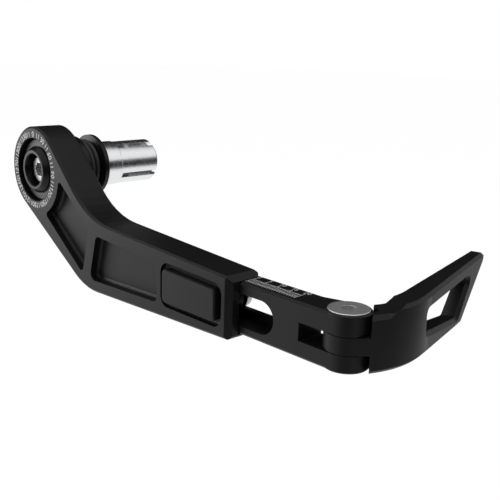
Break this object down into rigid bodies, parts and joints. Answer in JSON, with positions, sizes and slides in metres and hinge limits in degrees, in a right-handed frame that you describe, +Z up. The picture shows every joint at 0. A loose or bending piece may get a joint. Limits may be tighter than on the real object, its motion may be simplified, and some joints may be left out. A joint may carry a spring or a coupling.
{
  "type": "motorcycle lever guard",
  "caption": "Bar-end lever guard: a cranked arm with a ring clamped to a handlebar plug, a sliding extension bar and a hinged, windowed tip that shields the lever.",
  "frame": {"origin": "on the handlebar's axis, in the flat annular face of the end flange that seats on the handlebar's open end", "axes": "+Y along the plug, inboard into the handlebar; +X forward along the guard's arm, away from the handlebar; +Z up"},
  "size_m": [0.1778, 0.0925, 0.0563],
  "materials": {
    "black_anodised": "bead blasted and black anodised, satin",
    "machined_silver": "turned, bright",
    "plain_steel": "stainless, brushed",
    "zinc_screw": "stainless, bright",
    "bronze": "oiled, dull",
    "nylon": "moulded, pale",
    "seal_rubber": "moulded, dull"
  },
  "bodies": {
    "bar_end": {"expander_sleeve": "machined_silver", "wedge_nut": "plain_steel", "bar_end_bolt": "zinc_screw", "bolt_washer": "plain_steel", "pivot_boss": "black_anodised", "slip_washer": "nylon", "spacer_collar": "black_anodised", "seal_rings": "seal_rubber", "end_flange": "black_anodised"},
    "arm": {"main_arm": "black_anodised", "clamp_screws": "plain_steel", "clamp_washers": "plain_steel"},
    "extension": {"extension_bar": "black_anodised", "hinge_screw": "zinc_screw"},
    "tip": {"guard_tip": "black_anodised", "hinge_bush": "bronze", "hinge_washers": "nylon", "lock_screw": "plain_steel"}
  },
  "joints": [
    {"name": "arm_swivel", "type": "hinge", "parent": "bar_end", "child": "arm", "pos_m": [0, -0.0207, 0], "axis": [0, 1, 0], "continuous": true},
    {"name": "extension_slide", "type": "slide", "parent": "arm", "child": "extension", "axis": [1, 0, 0], "range_m": [-0.02, 0]},
    {"name": "tip_hinge", "type": "hinge", "parent": "extension", "child": "tip", "pos_m": [0.1495, -0.01615, -0.0278], "axis": [0, 0, 1], "range_deg": [-25, 25]}
  ]
}
